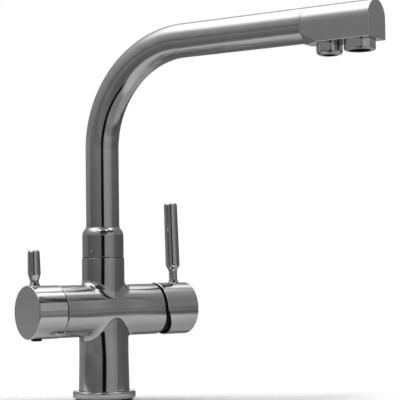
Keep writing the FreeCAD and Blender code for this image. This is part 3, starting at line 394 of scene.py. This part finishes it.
def waves(tree, place, relief):
    """Shallow waves on top of a relief, deeper on the barrel."""
    stretched = vector_maths(tree, "MULTIPLY", "Vector", place, WAVE_STRETCH)
    swell = calculate(tree, "SUBTRACT", noise(tree, stretched, WAVES, WAVE_DETAIL), NOISE_MIDDLE)
    low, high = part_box("mixer_handle")
    axis_height = (low[2] + high[2]) / 2
    above_axis = calculate(tree, "SUBTRACT", part_of(tree, place, "Z"), axis_height)
    off_axis = calculate(tree, "ABSOLUTE", above_axis)
    height = product(tree, swell, ease(tree, off_axis, BARREL_EDGES, *WAVE_DEPTHS))
    inputs = {"Height": height, "Strength": 1.0, "Distance": 1.0, "Normal": relief}
    return add(tree, "ShaderNodeBump", inputs).outputs[0]


def painted_shade_share(tree, place, node):
    """Share of painted shade: 1 on the inner walls of a round cap on the cross axis, 0 on its outside and its
    end.
    """
    low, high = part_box(node)
    outer = (high[1] - low[1]) / 2
    cross = (high[2] + low[2]) / 2
    end = max(abs(low[0]), abs(high[0]))
    flat = vector_maths(tree, "MULTIPLY", "Vector", place, (0, 1, 1))
    radius = vector_maths(tree, "DISTANCE", "Value", flat, (0, 0, cross))
    along = calculate(tree, "ABSOLUTE", part_of(tree, place, "X"))
    return product(tree, ease(tree, radius, [outer - depth for depth in INSIDE_SHADE_RADIUS]),
                   ease(tree, along, [end - depth for depth in INSIDE_SHADE_END]))


def finish_material(name, finish, wavy=False, soft=False, shade_inside_of=None):
    """Cloudy tone and roughness with a fine grain; waves, a softer polish higher up, or painted shade inside.
    """
    dark, light, rough_range, patches, grains, depth, metallic, gloss = FINISHES[finish]
    material = bpy.data.materials.new(name)
    tree = fresh_tree(material)
    place = add(tree, "ShaderNodeTexCoord").outputs["Object"]
    cloud = noise(tree, place, patches, CLOUD_DETAIL)
    grain = noise(tree, place, grains, GRAIN_DETAIL)
    tone = mix_colours(tree, cloud, dark, light)
    rough = ease(tree, cloud, NOISE_RANGE, *rough_range)
    relief = add(tree, "ShaderNodeBump", {"Height": grain, "Strength": 1.0, "Distance": depth}).outputs[0]
    if wavy:
        relief = waves(tree, place, relief)
    if soft:
        added = ease(tree, part_of(tree, place, "Z"), SOFT_HEIGHT, *SOFT_ROUGHNESS)
        rough = calculate(tree, "ADD", rough, added)
    # Painted shade: the chrome inner walls of the cap are coloured near black
    if shade_inside_of:
        share = painted_shade_share(tree, place, shade_inside_of)
        tone = mix_colours(tree, share, tone, INSIDE_SHADE_TONE)
        rough = mix_values(tree, share, rough, INSIDE_SHADE_ROUGHNESS)
    shader = add(tree, "ShaderNodeBsdfPrincipled", {
        "Base Color": tone,
        "Roughness": rough,
        "Normal": relief,
        "Metallic": metallic,
        "Specular IOR Level": gloss,
    })
    add(tree, "ShaderNodeOutputMaterial", {"Surface": shader.outputs[0]})
    return material


def dress_nodes():
    """Gives each node its slot's finish or one of its own, and returns the slots' finishes."""
    finishes = {slot: finish_material(slot, slot) for slot in sorted(set(slot_of.values()))}
    cast_finish = finish_material("cast_chrome", "cast_chrome")
    spout_finish = finish_material("soft_chrome", "spout_chrome", soft=True)
    special = {
        "spout_tube": spout_finish,
        "outlet_head": spout_finish,
        "tap_body": finish_material("wavy_chrome", "cast_chrome", wavy=True),
        "spout_collar": cast_finish,
        "base_flange": cast_finish,
        "mixer_handle": finish_material("mixer_cap_chrome_painted_shade", "chrome", shade_inside_of="mixer_handle"),
        "filter_handle": finish_material("filter_cap_chrome_painted_shade", "chrome", shade_inside_of="filter_handle"),
    }
    for name, item in nodes.items():
        item.data.materials.clear()
        item.data.materials.append(special.get(name, finishes[slot_of[name]]))
    return finishes


def circle(mesh, centre, radius, angles):
    return [mesh.verts.new((centre[0] + radius * math.cos(angle), centre[1] + radius * math.sin(angle), 0))
            for angle in angles]


def honeycomb(mesh, reach):
    """Flat web of six-sided cells that lie whole inside a circle."""
    outer = CELL_WIDTH / math.sqrt(3)
    inner = outer - CELL_WALL / math.sqrt(3)
    row_step = 1.5 * outer
    rows = int(reach / row_step) + 1
    for row in range(-rows, rows + 1):
        for column in range(-2 * rows, 2 * rows + 1):
            centre = ((column + 0.5 * (row % 2)) * CELL_WIDTH, row * row_step)
            if math.hypot(*centre) + outer > reach:
                continue
            edge = circle(mesh, centre, outer, CELL_CORNERS)
            hole = circle(mesh, centre, inner, CELL_CORNERS)
            for step in range(len(CELL_CORNERS)):
                mesh.faces.new((edge[step], edge[step - 1], hole[step - 1], hole[step]))
    bmesh.ops.remove_doubles(mesh, verts=mesh.verts, dist=JOIN_DISTANCE)


def rim(mesh, outer, inner):
    """Flat ring round the web."""
    angles = [2 * math.pi * step / RIM_STEPS for step in range(RIM_STEPS)]
    edge, hole = [circle(mesh, (0, 0), radius, angles) for radius in (outer, inner)]
    for step in range(RIM_STEPS):
        mesh.faces.new((edge[step - 1], edge[step], hole[step], hole[step - 1]))


def outlet_screen(node, material):
    """Honeycomb screen that fills an outlet."""
    low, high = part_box(node)
    outer = (high[0] - low[0]) / 2
    mesh = bmesh.new()
    honeycomb(mesh, outer - WEB_MARGIN)
    rim(mesh, outer, outer - RIM_WIDTH)
    bmesh.ops.recalc_face_normals(mesh, faces=mesh.faces)
    data = bpy.data.meshes.new(node + "_screen")
    mesh.to_mesh(data)
    mesh.free()
    data.materials.append(material)
    screen = bpy.data.objects.new(node + "_screen", data)
    scene.collection.objects.link(screen)
    screen.location = [(start + end) / 2 for start, end in zip(low, high)]
    thick = screen.modifiers.new("thickness", "SOLIDIFY")
    thick.thickness = high[2] - low[2]
    thick.offset = 0.0
    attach(screen, "spout")
    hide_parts(node)


make_camera()
make_world()
make_floor()
finishes = dress_nodes()
for node in ("aerator_insert", "nozzle_insert"):
    outlet_screen(node, finishes[slot_of[node]])
scene.view_settings.view_transform = "Standard"
